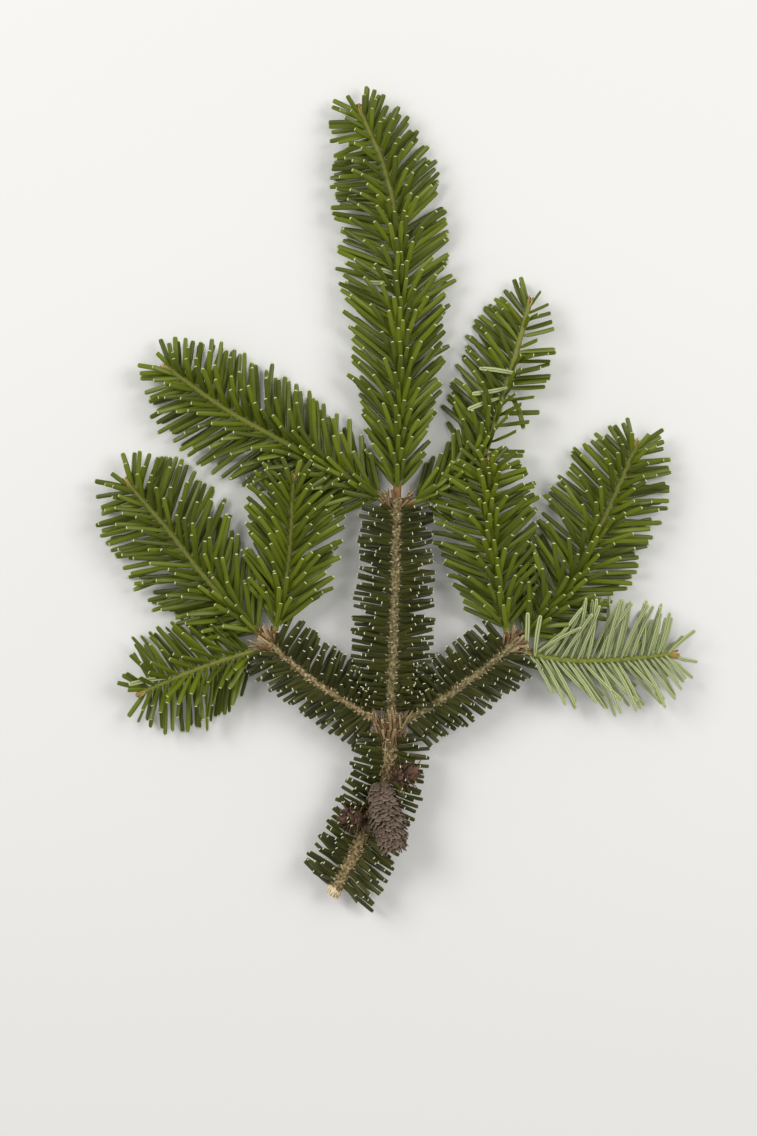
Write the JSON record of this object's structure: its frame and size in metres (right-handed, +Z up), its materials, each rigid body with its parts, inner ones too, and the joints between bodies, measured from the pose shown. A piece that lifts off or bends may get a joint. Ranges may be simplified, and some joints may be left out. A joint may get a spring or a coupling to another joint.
{
  "type": "cut nordmann fir branch",
  "caption": "Cut nordmann fir branch lying flat: a woody stem with forked boughs, flat sprays of blunt green needles, one turned over, and a small old cone.",
  "frame": {"origin": "middle of the branch's underside, on the surface that it lies on", "axes": "+Y towards the leader's tip, +Z up away from the surface, +X to the right seen from above"},
  "size_m": [0.2522, 0.3456, 0.0273],
  "materials": {
    "bark": "rough, scaly, golden tan",
    "grey_bark": "rough, grey-tan",
    "green_bark": "smooth, grooved, yellow-green",
    "cut_wood": "torn, pale",
    "old_needles": "waxy, dark green",
    "young_needles": "glossy, yellow-green",
    "pale_undersides": "waxy, two pale bands",
    "bud_scales": "papery, reddish brown",
    "dry_cone": "dry, grey-brown",
    "dry_buds": "dry, reddish brown"
  },
  "bodies": {
    "root": {"main_stem": "bark", "middle_bough": "grey_bark", "left_bough": "bark", "right_bough": "grey_bark", "main_stem_needles_left": "old_needles", "main_stem_needles_right": "old_needles", "middle_bough_needles_left": "old_needles", "middle_bough_needles_right": "old_needles", "left_bough_needles_inner": "old_needles", "left_bough_needles_outer": "old_needles", "right_bough_needles_inner": "old_needles", "right_bough_needles_outer": "old_needles", "leader_shoot": "young_needles", "upper_left_shoot": "young_needles", "upper_right_shoot": "young_needles", "left_outer_shoot": "young_needles", "left_inner_shoot": "young_needles", "left_lower_shoot": "young_needles", "right_inner_shoot": "young_needles", "right_outer_shoot": "young_needles", "right_lower_shoot": "pale_undersides", "old_cone": "dry_cone", "bud_cluster_right": "dry_buds", "bud_cluster_left": "dry_buds"}
  },
  "joints": []
}
